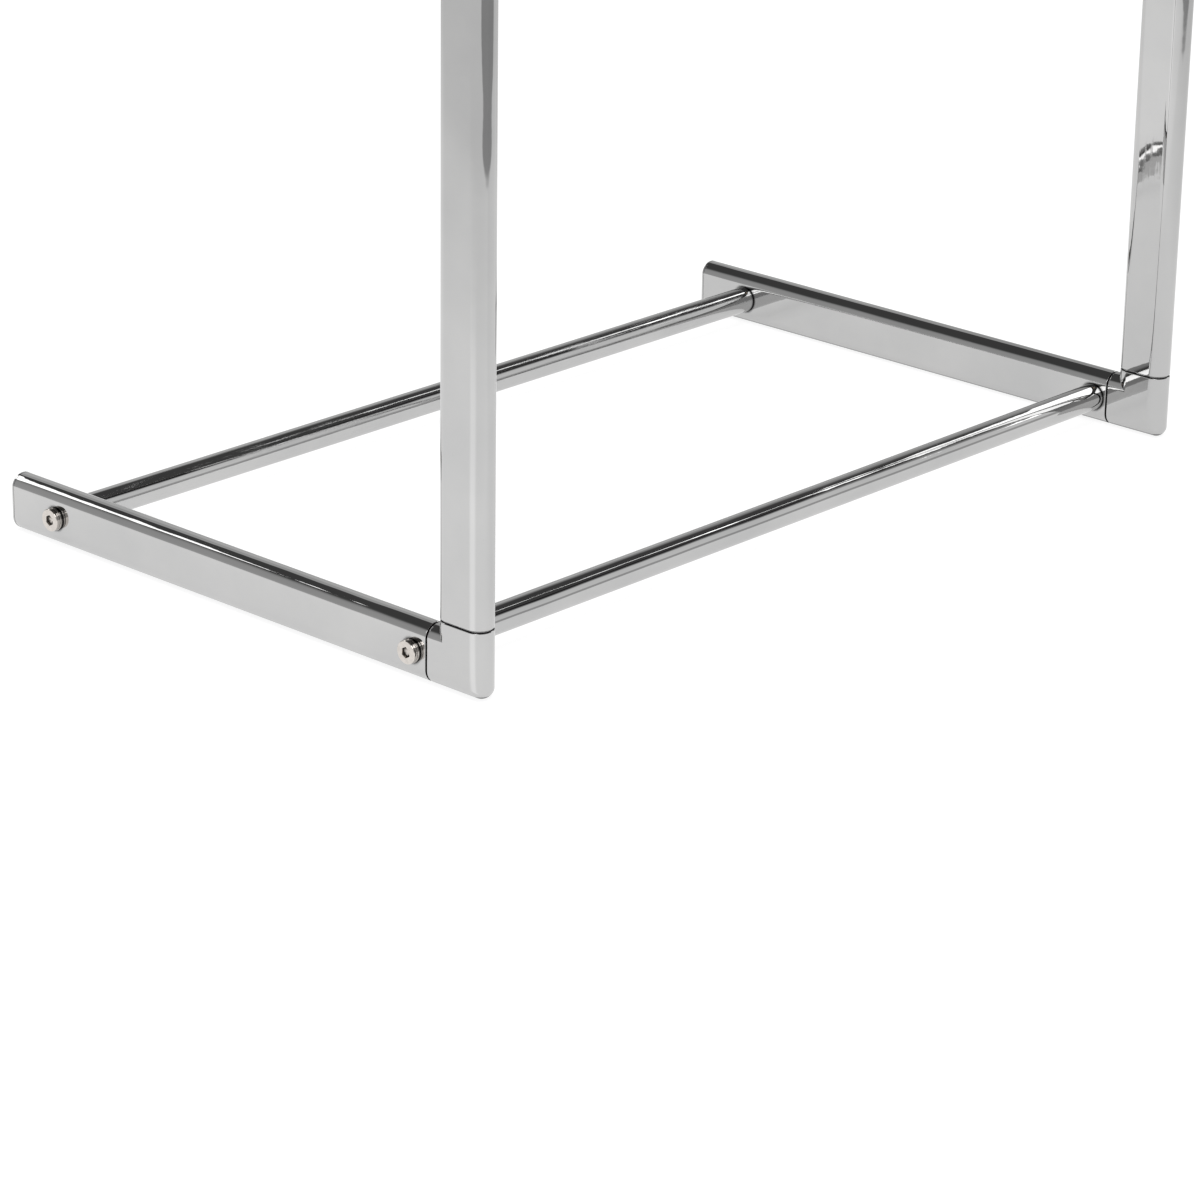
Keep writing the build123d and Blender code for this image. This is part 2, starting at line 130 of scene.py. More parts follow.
# Floor as polished metal sees it. A lit pool round the stand fades with distance, a dark stretch of
# the room starts in front of it, the right half is a little dimmer, and a brighter wedge opens to
# the left from the left upright's front edge. A pair is where a change starts and ends.
FLOOR_HALF_SIZE = 40.0
FLOOR_GLOW = 0.82
POOL_FADE = (0.55, 1.3)
POOL_EDGE_SHARE = 0.72
DARK_FRONT = (1.02, 1.12)
DARK_MIDDLE_X = -0.45
DARK_SIDES = (1.3, 1.1)
DARK_LOSS = 0.72
RIGHT_FADE = (-0.3, -0.1)
RIGHT_LOSS = 0.09
WEDGE_BEARING = math.radians(8)
WEDGE_HALF_WIDTH = math.radians(34)
WEDGE_CORE_SHARE = 0.25
WEDGE_REACH = (0.8, 0.25)
WEDGE_GLOW = 0.2
FLOOR_TONE = 0.25
FLOOR_TO_CAMERA = 0.9

# Overhead light for matt surfaces, in metres and watts
OVERHEAD_SIZE = 3.0
OVERHEAD_HEIGHT = 3.0
OVERHEAD_POWER = 60.0

# Studio: the walls' brightness at elevations in degrees, and the lights on them, as (strength,
# width of the soft edge in radians, corners). A corner is (azimuth, elevation) in degrees, and
# azimuths turn from +Y towards +X.
WALL_LEVELS = [
    (0, 0.50), (5, 0.45), (10, 0.42), (18, 0.42), (28, 0.40), (34, 0.28), (37, 0.12), (41, 0.065)
]
SOFTBOX_RIGHT = [(98.5, 44), (125, 24), (96, 16), (70, 36)]
SOFTBOX_STRAP = [(94.5, 42.5), (102, 42.5), (95, 49), (90, 49)]
SOFTBOX_BEHIND = [(-24.5, 42.3), (8, 42.8), (8, 28), (-27.5, 28)]
SOFTBOX_LEFT = [(-112, 48), (-88, 34), (-110, 18), (-135, 32)]
PANEL_NEAR = [(121, 8), (120, 32.5), (156, 34), (156, 8)]
FLAG_NEAR = [(110, 31), (110, 40), (150, 41), (150, 33)]
PANEL_FAR = [(26, 8), (24, 36), (50, 36), (54, 8)]
PANEL_HIGH = [(18, 33), (17, 43), (49, 43), (50, 33)]
STUDIO_LIGHTS = [
    (2.0, 0.006, SOFTBOX_RIGHT),
    (1.8, 0.006, SOFTBOX_STRAP),
    (2.0, 0.006, SOFTBOX_BEHIND),
    (2.5, 0.006, SOFTBOX_LEFT),
    (0.38, 0.05, PANEL_NEAR),
    (-0.08, 0.03, FLAG_NEAR),
    (0.17, 0.08, PANEL_FAR),
    (0.38, 0.05, PANEL_HIGH),
]


# ---- Node trees ----


def add_node(tree, kind, inputs=None, **settings):
    """Adds a node, sets its own properties, and gives its inputs values or other nodes' sockets."""
    made = tree.nodes.new(kind)
    for name, value in settings.items():
        setattr(made, name, value)
    for name, value in (inputs or {}).items():
        if isinstance(value, bpy.types.NodeSocket):
            tree.links.new(value, made.inputs[name])
        else:
            made.inputs[name].default_value = value
    return made


def math_node(tree, operation, *values):
    """Output of a Math node over one, two or three values or sockets."""
    return add_node(
        tree, "ShaderNodeMath", dict(enumerate(values)), operation=operation
    ).outputs[0]


def smooth_step(tree, value, start, end):
    """Value mapped smoothly from 0 at start to 1 at end."""
    inputs = {"Value": value, "From Min": start, "From Max": end}
    made = add_node(tree, "ShaderNodeMapRange", inputs, interpolation_type="SMOOTHSTEP")
    return made.outputs["Result"]


def map_range(tree, value, low, high, to_low, to_high):
    """Value mapped in a straight line from low..high to to_low..to_high, and held outside it."""
    inputs = {
        "Value": value, "From Min": low, "From Max": high, "To Min": to_low, "To Max": to_high
    }
    return add_node(tree, "ShaderNodeMapRange", inputs).outputs["Result"]


def color_ramp(tree, value, stops):
    """Colour of a ramp with stops of (position, colour) at value."""
    made = add_node(tree, "ShaderNodeValToRGB", {"Fac": value})
    ramp = made.color_ramp
    while len(ramp.elements) < len(stops):
        ramp.elements.new(0.5)
    for element, (position, color) in zip(ramp.elements, stops):
        element.position = position
        element.color = (*color, 1.0)
    return made.outputs["Color"]


def start_material(name):
    """New material with a Principled shader: the material, its tree and the shader."""
    material = bpy.data.materials.new(name)
    material.use_nodes = True
    tree = material.node_tree
    tree.nodes.clear()
    shader = add_node(tree, "ShaderNodeBsdfPrincipled")
    add_node(tree, "ShaderNodeOutputMaterial", {"Surface": shader.outputs["BSDF"]})
    return material, tree, shader


def object_coordinates(tree, scale=(1.0, 1.0, 1.0)):
    """Object coordinates, scaled along each axis."""
    place = add_node(tree, "ShaderNodeTexCoord").outputs["Object"]
    return add_node(tree, "ShaderNodeMapping", {"Vector": place, "Scale": scale}).outputs["Vector"]


def noise(tree, vector, scale, detail=2.0, roughness=0.5):
    """Fractal noise from 0 to 1."""
    inputs = {"Vector": vector, "Scale": scale, "Detail": detail, "Roughness": roughness}
    return add_node(tree, "ShaderNodeTexNoise", inputs).outputs["Fac"]


def link(tree, output, shader, name):
    """Joins a socket to the shader's input of that name."""
    tree.links.new(output, shader.inputs[name])


# ---- Materials ----


def bump(tree, shader, height, distance, strength=1.0):
    """Bumps the shader's surface by a height socket of 0 to 1, which is distance deep."""
    inputs = {"Height": height, "Distance": distance, "Strength": strength}
    made = add_node(tree, "ShaderNodeBump", inputs)
    link(tree, made.outputs["Normal"], shader, "Normal")


def shaded(tree, tone, level):
    """Tone with its brightness times level."""
    return add_node(tree, "ShaderNodeHueSaturation", {"Color": tone, "Value": level}).outputs["Color"]


def painted_groove_shade(tree, tone):
    """Tone darkened by ambient occlusion in grooves and corners: painted shade."""
    inputs = {"Distance": GROOVE_SHADE_REACH}
    openness = add_node(tree, "ShaderNodeAmbientOcclusion", inputs, samples=8).outputs["AO"]
    level = math_node(tree, "MULTIPLY_ADD", smooth_step(tree, openness, 0.5, 0.92), 0.97, 0.03)
    return shaded(tree, tone, level)


def chrome(name, along, waviness, scuffs=0.0):
    """Bright chromium plate with fine marks, hazy streaks, tiny pits and a slow waviness.

    along is the axis that marks and streaks run along, or None, waviness is in millimetres, and
    scuffs is how much duller wear has made it.
    """
    material, tree, shader = start_material(name)
    shader.inputs["Metallic"].default_value = 1.0
    stretch = [1.0, 1.0, 1.0]
    if along is not None:
        stretch[along] = DRAWN_STRETCH
    even, drawn = object_coordinates(tree), object_coordinates(tree, stretch)
    haze = noise(tree, even, CHROME_HAZE, 4.0)
    tone = color_ramp(tree, haze, list(zip((0.35, 0.65), CHROME_TONES)))
    # Painted shade: the base colour darkens in grooves and corners
    link(tree, painted_groove_shade(tree, tone), shader, "Base Color")
    marks = noise(tree, drawn, CHROME_MARKS, 3.0, 0.65)
    streaks = noise(tree, drawn, CHROME_STREAKS, 3.0)
    pits = smooth_step(tree, noise(tree, even, CHROME_PITS, 1.0), 0.70, 0.78)
    rough = map_range(tree, marks, 0.45, 0.8, 0.004 + 0.4 * scuffs, 0.03 + scuffs)
    rough = math_node(
        tree, "MULTIPLY_ADD", smooth_step(tree, streaks, 0.52, 0.7), 0.05 + scuffs, rough
    )
    link(tree, math_node(tree, "MULTIPLY_ADD", pits, 0.1, rough), shader, "Roughness")
    waves = math_node(tree, "MULTIPLY", noise(tree, even, CHROME_WAVES, 1.0), waviness)
    ripples = noise(tree, even, CHROME_RIPPLES, 2.0)
    relief = math_node(tree, "MULTIPLY_ADD", ripples, 0.04 * waviness, waves)
    relief = math_node(tree, "MULTIPLY_ADD", streaks, 0.006, relief)
    bump(tree, shader, math_node(tree, "MULTIPLY_ADD", marks, 0.001, relief), MM)
    return material


def plated(name, tones):
    """Plated steel, with lathe marks round the axis of a turned piece."""
    material, tree, shader = start_material(name)
    shader.inputs["Metallic"].default_value = 1.0
    stain = noise(tree, object_coordinates(tree), PLATING_STAIN, 3.0)
    tone = color_ramp(tree, stain, list(zip((0.3, 0.7), tones)))
    # Painted shade: the base colour darkens in grooves and corners
    link(tree, painted_groove_shade(tree, tone), shader, "Base Color")
    lathe = add_node(tree, "ShaderNodeUVMap", uv_map="lathe").outputs["UV"]
    rings = noise(tree, lathe, PLATING_RINGS, 2.0, 0.6)
    link(tree, map_range(tree, rings, 0.3, 0.7, 0.05, 0.14), shader, "Roughness")
    bump(tree, shader, rings, 0.01 * MM)
    return material


def brass():
    """Plain turned brass."""
    material, tree, shader = start_material("brass")
    shader.inputs["Metallic"].default_value = 1.0
    stain = noise(tree, object_coordinates(tree), BRASS_STAIN, 3.0)
    tone = color_ramp(tree, stain, list(zip((0.3, 0.7), BRASS_TONES)))
    link(tree, tone, shader, "Base Color")
    link(tree, map_range(tree, stain, 0.3, 0.7, 0.18, 0.3), shader, "Roughness")
    return material


def wood(name, grain_axis, tones, coat):
    """Straight-grained wood under satin lacquer: growth bands, slow colour drift and open pores.

    grain_axis is 0, 1 or 2 for grain along X, Y or Z, and tones runs from dark to light.
    """
    material, tree, shader = start_material(name)
    stretch, fine_stretch = [1.0, 1.0, 1.0], [1.0, 1.0, 1.0]
    stretch[grain_axis], fine_stretch[grain_axis] = GRAIN_STRETCH, FIBRE_STRETCH
    place, fine_place = object_coordinates(tree, stretch), object_coordinates(tree, fine_stretch)
    drift = noise(tree, place, WOOD_DRIFT, 3.0, 0.55)
    bent = add_node(
        tree, "ShaderNodeVectorMath", {0: drift, "Scale": 0.03}, operation="SCALE"
    ).outputs["Vector"]
    swayed = add_node(tree, "ShaderNodeVectorMath", {0: place, 1: bent}, operation="ADD").outputs[0]
    bands = noise(tree, swayed, WOOD_BANDS, 4.0, 0.6)
    fibres = noise(tree, fine_place, WOOD_FIBRES, 3.0, 0.6)
    figure = math_node(tree, "MULTIPLY_ADD", drift, 0.45, math_node(tree, "MULTIPLY", bands, 0.4))
    figure = math_node(tree, "MULTIPLY_ADD", fibres, 0.15, figure)
    tone = color_ramp(tree, figure, list(zip((0.36, 0.47, 0.56, 0.66), tones)))
    pores = smooth_step(tree, noise(tree, fine_place, WOOD_PORES), 0.60, 0.68)
    tone = shaded(tree, tone, math_node(tree, "MULTIPLY_ADD", pores, -0.55, 1.0))
    link(tree, tone, shader, "Base Color")
    link(tree, map_range(tree, fibres, 0.3, 0.7, 0.36, 0.5), shader, "Roughness")
    shader.inputs["Coat Weight"].default_value = coat
    shader.inputs["Coat Roughness"].default_value = 0.22
    relief = math_node(tree, "MULTIPLY_ADD", pores, -1.0, fibres)
    bump(tree, shader, relief, 0.05 * MM, 0.6)
    return material


def felt():
    """Charcoal wool felt: matted fibres in mixed greys."""
    material, tree, shader = start_material("felt")
    place = object_coordinates(tree)
    fibres = noise(tree, place, FELT_FIBRES, 6.0, 0.75)
    clumps = noise(tree, place, FELT_CLUMPS, 3.0)
    mottle = math_node(tree, "MULTIPLY_ADD", clumps, 0.4, math_node(tree, "MULTIPLY", fibres, 0.6))
    tone = color_ramp(tree, mottle, list(zip((0.38, 0.5, 0.62), FELT_TONES)))
    link(tree, tone, shader, "Base Color")
    shader.inputs["Roughness"].default_value = 0.95
    shader.inputs["Specular IOR Level"].default_value = 0.2
    shader.inputs["Sheen Weight"].default_value = 0.35
    shader.inputs["Sheen Roughness"].default_value = 0.5
    bump(tree, shader, mottle, 0.4 * MM, 0.8)
    return material


CHROME_BY_AXIS = [
    chrome(f"chrome_drawn_{letter}", axis, TUBE_WAVINESS) for axis, letter in enumerate("xyz")
]
SHOE_RAIL = "base_rear_bar"
SHOE_RAIL_CHROME = chrome("chrome_scuffed", 0, TUBE_WAVINESS, scuffs=0.12)
WALNUT_ACROSS = wood("walnut_across", 0, WALNUT_TONES, coat=0.5)
WALNUT_ALONG = wood("walnut_along", 1, WALNUT_TONES, coat=0.5)
MATERIALS = {
    "tube_chrome": CHROME_BY_AXIS[2],
    "cast_chrome": chrome("chrome_cast", None, waviness=0.5),
    "cap_chrome": chrome("chrome_cap", None, waviness=0.2),
    "turned_chrome": chrome("chrome_turned", 2, waviness=0.2),
    "nickel_plate": plated("nickel", NICKEL_TONES),
    "zinc_plated_steel": plated("zinc", ZINC_TONES),
    "brass": brass(),
    "walnut": WALNUT_ACROSS,
    "tray_board": wood("birch_board", 0, BOARD_TONES, coat=0.1),
    "felt": felt(),
}


# ---- Pieces ----


def flat_oval(wide, narrow):
    """Outline of a flat-oval or round section: (centre of its arc, unit normal) of each point."""
    half_flat = (wide - narrow) / 2
    outline = []
    for side in (1, -1):
        last = ARC_STEPS + 1 if half_flat > 0 else ARC_STEPS
        for step in range(last):
            angle = math.pi * (step / ARC_STEPS - side / 2)
            outline.append((Vector((side * half_flat, 0)), Vector((math.cos(angle), math.sin(angle)))))
    return outline


def tube_stations(start, end, wall, rim_round):
    """Bands of a tube's skin along its length, each a list of (place, inset, tilt of the normal)."""
    rims = []
    for edge, way in ((start, -1), (end, 1)):
        angles = [math.pi / 2 * step / RIM_STEPS for step in range(RIM_STEPS + 1)]
        rims.append(
            [
                (
                    edge - way * rim_round * (1 - math.sin(angle)),
                    rim_round * (1 - math.cos(angle)),
                    way * angle,
                )
                for angle in angles
            ]
        )
    near, far = rims
    inward = math.pi
    return [
        [*reversed(near), *far],
        [(end, rim_round, math.pi / 2), (end, wall, math.pi / 2)],
        [(end, wall, inward), (start, wall, inward)],
        [(start, wall, -math.pi / 2), (start, rim_round, -math.pi / 2)],
    ]


def long_axis(node):
    """Axis, 0 to 2, that a node is longest along."""
    low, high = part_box(node)
    return max(range(3), key=lambda axis: high[axis] - low[axis])


def tube_piece(node, rim_round):
    """Finely divided tube in the place of a CAD tube, with the true normals of its surface."""
    low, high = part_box(node)
    size = high - low
    along = long_axis(node)
    wide_axis, narrow_axis = sorted(set(range(3)) - {along}, key=lambda axis: -size[axis])
    middle = (low + high) / 2
    wide, narrow = size[wide_axis], size[narrow_axis]
    if wide - narrow < ROUND_WITHIN:
        wide = narrow
    outline = flat_oval(wide, narrow)
    radius = narrow / 2

    points, faces, normals = [], [], []
    count = len(outline)
    for band in tube_stations(low[along], high[along], TUBE_WALL, rim_round):
        for row, (place, inset, tilt) in enumerate(band):
            for centre, outward in outline:
                flat = centre + outward * (radius - inset)
                point = middle.copy()
                point[wide_axis] += flat.x
                point[narrow_axis] += flat.y
                point[along] = place
                normal = Vector((0.0, 0.0, 0.0))
                normal[wide_axis] = outward.x * math.cos(tilt)
                normal[narrow_axis] = outward.y * math.cos(tilt)
                normal[along] = math.sin(tilt)
                points.append(point)
                normals.append(normal)
            if row:
                first = len(points) - 2 * count
                for index in range(count):
                    after = (index + 1) % count
                    faces.append(
                        (first + index, first + after, first + count + after, first + count + index)
                    )
    return mesh_piece(f"{node}_skin", points, faces, normals)


def mesh_piece(name, points, faces, normals):
    """Mesh object whose faces look along the given normals, with coinciding points joined."""
    mesh = bpy.data.meshes.new(name)
    facing = []
    for face in faces:
        a, b, c = (points[index] for index in face[:3])
        turned = (b - a).cross(c - b).dot(normals[face[0]]) < 0
        facing.append(tuple(reversed(face)) if turned else face)
    merged, places, keys = [], [], {}
    for point in points:
        key = tuple(round(value / JOIN_WITHIN) for value in point)
        if key not in keys:
            keys[key] = len(places)
            places.append(point)
        merged.append(keys[key])
    mesh.from_pydata(places, [], [[merged[index] for index in face] for face in facing])
    mesh.polygons.foreach_set("use_smooth", [True] * len(mesh.polygons))
    mesh.normals_split_custom_set([normals[index] for face in facing for index in face])
    piece = bpy.data.objects.new(name, mesh)
    bpy.context.scene.collection.objects.link(piece)
    return piece


def finish_piece(piece, material, slot, *nodes):
    """Gives a new piece its material and lets it stand for CAD nodes; slot is not used."""
    piece.data.materials.clear()
    piece.data.materials.append(material)
    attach(piece, "root")
    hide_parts(*nodes)


def make_tubes():
    """Skins of the side frames' tubes and of the bars between them."""
    for node in TUBES + BARS:
        piece = tube_piece(node, BAR_RIM_ROUND if node in BARS else TUBE_RIM_ROUND)
        finish = SHOE_RAIL_CHROME if node == SHOE_RAIL else CHROME_BY_AXIS[long_axis(node)]
        finish_piece(piece, finish, "tube_chrome", node)


def ring_points(radius, height, hexagonal):
    """Points of one ring of a turned outline, in metres; a ring of no radius is one point."""
    if radius == 0:
        return [Vector((0, 0, height)) * MM]
    points = []
    for step in range(TURNED_STEPS):
        angle = 2 * math.pi * step / TURNED_STEPS
        reach = radius
        if hexagonal:
            reach /= math.cos(angle % SOCKET_ANGLE - SOCKET_ANGLE / 2)
        points.append(Vector((reach * math.cos(angle), reach * math.sin(angle), height)) * MM)
    return points


def turned_piece(name, rings, places):
    """One mesh of the same turned body at each of the places, with softened edges.

    rings are (radius, height, whether it is a hexagon). The UV map holds each point's height and
    radius in metres, for marks that run round the axis.
    """
    shape = bmesh.new()
    lathe = shape.loops.layers.uv.new("lathe")
    for place in places:
        rows = [[shape.verts.new(place @ point) for point in ring_points(*ring)] for ring in rings]
        for (before, after), (ring, next_ring) in zip(zip(rows, rows[1:]), zip(rings, rings[1:])):
            for step in range(TURNED_STEPS):
                corners = []
                for row, made, order in ((before, ring, (0, 1)), (after, next_ring, (1, 0))):
                    for offset in order:
                        vert = row[(step + offset) % len(row)]
                        if vert not in [corner[0] for corner in corners]:
                            corners.append((vert, (made[1] * MM, made[0] * MM)))
                face = shape.faces.new([vert for vert, _ in corners])
                face.smooth = True
                for loop, (_, uv) in zip(face.loops, corners):
                    loop[lathe].uv = uv
    bmesh.ops.remove_doubles(shape, verts=shape.verts, dist=1e-7)
    bmesh.ops.recalc_face_normals(shape, faces=shape.faces)
    mesh = bpy.data.meshes.new(name)
    shape.to_mesh(mesh)
    shape.free()
    piece = bpy.data.objects.new(name, mesh)
    bpy.context.scene.collection.objects.link(piece)
    soften = piece.modifiers.new("soften", "BEVEL")
    soften.width = TURNED_EDGE_ROUND
    soften.segments = 2
    soften.limit_method = "ANGLE"
    soften.angle_limit = TURNED_SHARP
    even = piece.modifiers.new("even", "WEIGHTED_NORMAL")
    even.keep_sharp = True
    return piece


def screw_rings(length):
    """Rings of a low-head screw from the tip of its shank to the bottom of its socket."""
    shank = [(0.0, -length), (HEAD_OUTLINE[0][0], -length)]
    rings = [(*corner, False) for corner in shank + HEAD_OUTLINE]
    rings += [(*corner, True) for corner in SOCKET_OUTLINE]
    return [*rings, (*SOCKET_POINT, False)]


def make_screws():
    """Screws and washers on the outer faces of the side frames, and the screw under the stem."""
    seats = []
    for side, way in (("left", -1), ("right", 1)):
        low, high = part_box(f"{side}_upright")
        face = low.x if way < 0 else high.x
        for bar in BARS:
            low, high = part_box(bar)
            middle = (low + high) / 2
            turn = Matrix.Rotation(way * math.pi / 2, 4, "Y")
            seats.append((Vector((face, middle.y, middle.z)), Vector((way, 0, 0)), turn))
    flush = [Matrix.Translation(place) @ turn for place, _, turn in seats]
    raised = [
        Matrix.Translation(place + outward * WASHER_THICKNESS * MM) @ turn
        for place, outward, turn in seats
    ]
    finish = MATERIALS["nickel_plate"]
    screws = turned_piece("bar_screws_skin", screw_rings(BAR_SCREW_LENGTH), raised)
    finish_piece(screws, finish, "nickel_plate", "bar_screws")
    washer = [(*corner, False) for corner in WASHER_OUTLINE]
    washers = turned_piece("bar_washers_skin", washer, flush)
    finish_piece(washers, finish, "nickel_plate", "bar_washers")

    low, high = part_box("top_rear_bar")
    under = Matrix.Translation((0, (low.y + high.y) / 2, low.z)) @ Matrix.Rotation(math.pi, 4, "X")
    screw = turned_piece("stem_screw_skin", screw_rings(STEM_SCREW_LENGTH), [under])
    finish_piece(screw, finish, "nickel_plate", "stem_screw")


def liner_steps(low, high):
    """Grid lines of the liner along one axis: close together at its edges, even between them."""
    start, end = low + LINER_EDGE_STEPS[-1], high - LINER_EDGE_STEPS[-1]
    count = round((end - start) / LINER_GRID)
    inner = [start + (end - start) * step / count for step in range(1, count)]
    near = [low + step for step in LINER_EDGE_STEPS]
    far = [high - step for step in reversed(LINER_EDGE_STEPS)]
    return [*near, *inner, *far]


def liner_drop(distance):
    """How far the liner's top falls below its full height at a distance from its edge."""
    short = max(0.0, 1 - distance / LINER_EDGE_ROUND)
    return LINER_EDGE_ROUND * (1 - math.sqrt(1 - short**2))


def make_liner():
    """Felt liner that lies in the tray: a soft-edged sheet with a slightly uneven top."""
    low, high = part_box("tray_liner")
    across, along = liner_steps(low.x, high.x), liner_steps(low.y, high.y)
    shape = bmesh.new()
    layers = []
    for upper in (True, False):
        rows = []
        for y in along:
            row = []
            for x in across:
                edge = min(x - low.x, high.x - x, y - low.y, high.y - y)
                swell = noise_value(Vector((x, y, 0.0)) * LINER_SWELLS) * min(1.0, edge / LINER_GRID)
                top = high.z - LINER_UNEVENNESS * (0.5 - 0.5 * swell) - liner_drop(edge)
                row.append(shape.verts.new((x, y, top if upper else low.z)))
            rows.append(row)
        layers.append(rows)
    for rows in layers:
        for row, next_row in zip(rows, rows[1:]):
            for index in range(len(across) - 1):
                corners = (row[index], row[index + 1], next_row[index + 1], next_row[index])
                shape.faces.new(corners)
    rims = [
        [*rows[0], *(row[-1] for row in rows[1:]), *reversed(rows[-1][:-1]),
         *(row[0] for row in reversed(rows[1:-1]))]
        for rows in layers
    ]
    for index in range(len(rims[0])):
        after = (index + 1) % len(rims[0])
        shape.faces.new((rims[0][index], rims[0][after], rims[1][after], rims[1][index]))
    bmesh.ops.recalc_face_normals(shape, faces=shape.faces)
    for face in shape.faces:
        face.smooth = True
    mesh = bpy.data.meshes.new("tray_liner_felt")
    shape.to_mesh(mesh)
    shape.free()
    mesh.set_sharp_from_angle(angle=LINER_SHARP)
    liner = bpy.data.objects.new("tray_liner_felt", mesh)
    bpy.context.scene.collection.objects.link(liner)
    finish_piece(liner, MATERIALS["felt"], "felt", "tray_liner")


def paint_frame():
    """Gives each CAD node the material of its record slot; the side rails' grain runs along Y."""
    for node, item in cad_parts.items():
        for slot in item.material_slots:
            finish = MATERIALS[slot.material.name.split(".")[0]]
            slot.link = "OBJECT"
            slot.material = WALNUT_ALONG if node in SIDE_RAILS else finish


# ---- Studio ----


def sky_direction(azimuth, elevation):
    """Unit vector towards an azimuth and elevation in degrees."""
    turn, rise = math.radians(azimuth), math.radians(elevation)
    return Vector((math.sin(turn) * math.cos(rise), math.cos(turn) * math.cos(rise), math.sin(rise)))


def light_shape(tree, direction, corners, blur):
    """1 inside a distant convex shape and 0 outside it, for a direction.

    corners are directions in order round the shape, and blur is the width of its edge in radians.
    """
    inside = 1.0
    for corner, after in zip(corners, corners[1:] + corners[:1]):
        edge = corner.cross(after).normalized()
        if edge.dot(sum(corners, Vector())) < 0:
            edge = -edge
        inputs = {0: direction, 1: tuple(edge)}
        depth = add_node(tree, "ShaderNodeVectorMath", inputs, operation="DOT_PRODUCT")
        beyond = smooth_step(tree, depth.outputs["Value"], 0.0, blur)
        inside = math_node(tree, "MULTIPLY", beyond, inside)
    return inside


def make_world():
    """Studio walls with a dark ceiling, softboxes and panels; the camera sees plain white."""
    world = bpy.data.worlds.new("studio")
    bpy.context.scene.world = world
    world.use_nodes = True
    tree = world.node_tree
    tree.nodes.clear()
    direction = add_node(tree, "ShaderNodeTexCoord").outputs["Generated"]
    height = add_node(tree, "ShaderNodeSeparateXYZ", {"Vector": direction}).outputs["Z"]
    stops = [(math.sin(math.radians(angle)), (level,) * 3) for angle, level in WALL_LEVELS]
    glow = color_ramp(tree, height, stops)
    for strength, blur, corners in STUDIO_LIGHTS:
        lit = light_shape(tree, direction, [sky_direction(*corner) for corner in corners], blur)
        glow = math_node(tree, "MULTIPLY_ADD", lit, strength, glow)
    studio = add_node(tree, "ShaderNodeBackground", {"Color": glow})
    plain = add_node(tree, "ShaderNodeBackground", {"Color": (1.0, 1.0, 1.0, 1.0)})
    seen = add_node(tree, "ShaderNodeLightPath").outputs["Is Camera Ray"]
    mixed = add_node(
        tree, "ShaderNodeMixShader", {0: seen, 1: studio.outputs[0], 2: plain.outputs[0]}
    )
    add_node(tree, "ShaderNodeOutputWorld", {"Surface": mixed.outputs[0]})


def dimmed(tree, level, where, loss):
    """Level less a share of loss where where is 1."""
    return math_node(tree, "MULTIPLY", level, math_node(tree, "MULTIPLY_ADD", where, -loss, 1.0))


def wedge(tree, x, y):
    """1 inside the bright wedge of the floor and 0 outside it."""
    low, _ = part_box("left_upright")
    outward = math_node(tree, "SUBTRACT", low.x, x)
    behind = math_node(tree, "SUBTRACT", y, low.y)
    bearing = math_node(tree, "ARCTAN2", behind, outward)
    turn = math_node(tree, "ABSOLUTE", math_node(tree, "SUBTRACT", bearing, WEDGE_BEARING))
    inside = smooth_step(tree, turn, WEDGE_HALF_WIDTH, WEDGE_CORE_SHARE * WEDGE_HALF_WIDTH)
    return math_node(tree, "MULTIPLY", inside, smooth_step(tree, outward, *WEDGE_REACH))


def floor_glow(tree):
    """Brightness of the floor as polished metal sees it."""
    place = add_node(tree, "ShaderNodeTexCoord").outputs["Object"]
    parts = add_node(tree, "ShaderNodeSeparateXYZ", {"Vector": place}).outputs
    x, y = parts["X"], parts["Y"]
    reach = add_node(tree, "ShaderNodeVectorMath", {0: place}, operation="LENGTH").outputs["Value"]
    glow = map_range(tree, reach, *POOL_FADE, FLOOR_GLOW, POOL_EDGE_SHARE * FLOOR_GLOW)
    dark = smooth_step(tree, math_node(tree, "MULTIPLY", y, -1.0), *DARK_FRONT)
    aside = math_node(tree, "ABSOLUTE", math_node(tree, "SUBTRACT", x, DARK_MIDDLE_X))
    dark = math_node(tree, "MULTIPLY", dark, smooth_step(tree, aside, *DARK_SIDES))
    glow = dimmed(tree, glow, dark, DARK_LOSS)
    glow = dimmed(tree, glow, smooth_step(tree, x, *RIGHT_FADE), RIGHT_LOSS)
    return math_node(tree, "MULTIPLY_ADD", wedge(tree, x, y), WEDGE_GLOW, glow)


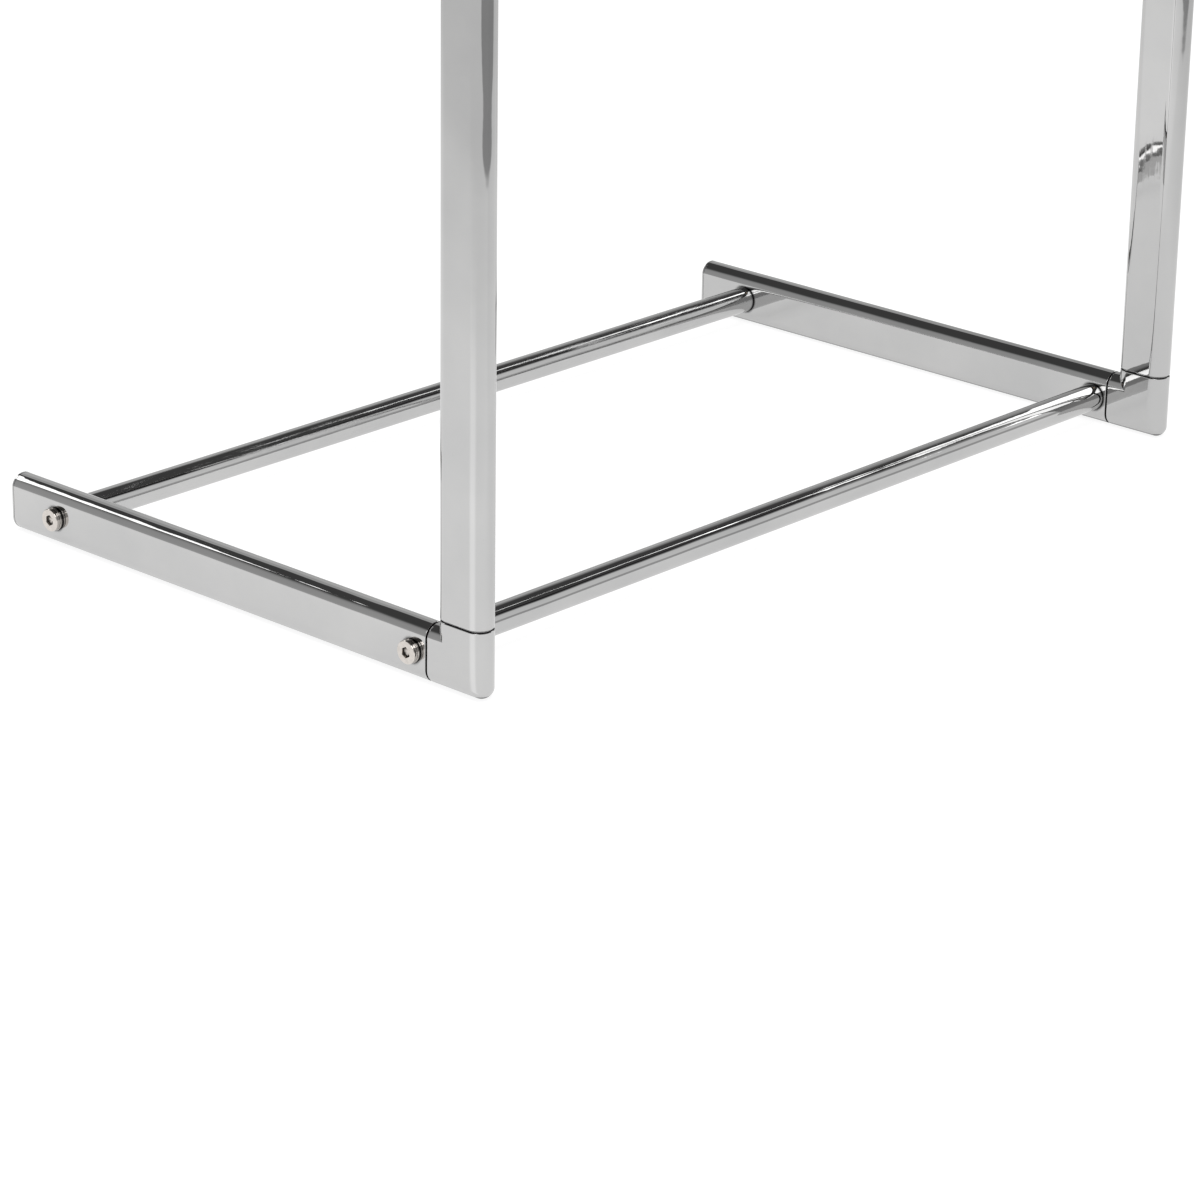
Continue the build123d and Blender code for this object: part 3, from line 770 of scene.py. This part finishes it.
def make_floor():
    """Wide white floor that the camera sees plain, and that polished metal sees as floor_glow."""
    half = FLOOR_HALF_SIZE
    corners = [(-half, -half, 0), (half, -half, 0), (half, half, 0), (-half, half, 0)]
    mesh = bpy.data.meshes.new("floor")
    mesh.from_pydata(corners, [], [(0, 1, 2, 3)])
    floor = bpy.data.objects.new("floor", mesh)
    bpy.context.scene.collection.objects.link(floor)
    material, tree, shader = start_material("floor_white")
    shader.inputs["Base Color"].default_value = (FLOOR_TONE, FLOOR_TONE, FLOOR_TONE, 1.0)
    shader.inputs["Roughness"].default_value = 0.9
    shader.inputs["Specular IOR Level"].default_value = 0.0
    shader.inputs["Emission Color"].default_value = (1.0, 1.0, 1.0, 1.0)
    seen = add_node(tree, "ShaderNodeLightPath").outputs["Is Camera Ray"]
    to_camera = math_node(tree, "MULTIPLY", seen, FLOOR_TO_CAMERA)
    glow = math_node(tree, "MAXIMUM", floor_glow(tree), to_camera)
    link(tree, glow, shader, "Emission Strength")
    mesh.materials.append(material)


def make_overhead_light():
    """Large soft light over the stand that only lights matt surfaces."""
    light = bpy.data.lights.new("overhead", "AREA")
    light.size = OVERHEAD_SIZE
    light.energy = OVERHEAD_POWER
    lamp = bpy.data.objects.new("overhead", light)
    lamp.location = (0.0, 0.0, OVERHEAD_HEIGHT)
    lamp.visible_glossy = False
    lamp.visible_camera = False
    bpy.context.scene.collection.objects.link(lamp)


def make_camera():
    """Camera at the photograph's viewing angle."""
    forward = Vector(
        (
            math.sin(CAMERA_YAW) * math.cos(CAMERA_PITCH),
            math.cos(CAMERA_YAW) * math.cos(CAMERA_PITCH),
            -math.sin(CAMERA_PITCH),
        )
    )
    right = Vector((math.cos(CAMERA_YAW), -math.sin(CAMERA_YAW), 0.0))
    upward = right.cross(forward)
    rolled_right = math.cos(CAMERA_ROLL) * right + math.sin(CAMERA_ROLL) * upward
    rolled_up = math.cos(CAMERA_ROLL) * upward - math.sin(CAMERA_ROLL) * right
    data = bpy.data.cameras.new("camera")
    data.lens = LENS_MM
    data.sensor_width = SENSOR_MM
    data.clip_end = CAMERA_FAR
    camera = bpy.data.objects.new("camera", data)
    turned = Matrix((rolled_right, rolled_up, -forward)).transposed().to_4x4()
    camera.matrix_world = Matrix.Translation(CAMERA_PLACE) @ turned
    bpy.context.scene.collection.objects.link(camera)
    bpy.context.scene.camera = camera


make_tubes()
make_screws()
make_liner()
paint_frame()
make_world()
make_floor()
make_overhead_light()
make_camera()
bpy.context.scene.view_settings.view_transform = "Standard"
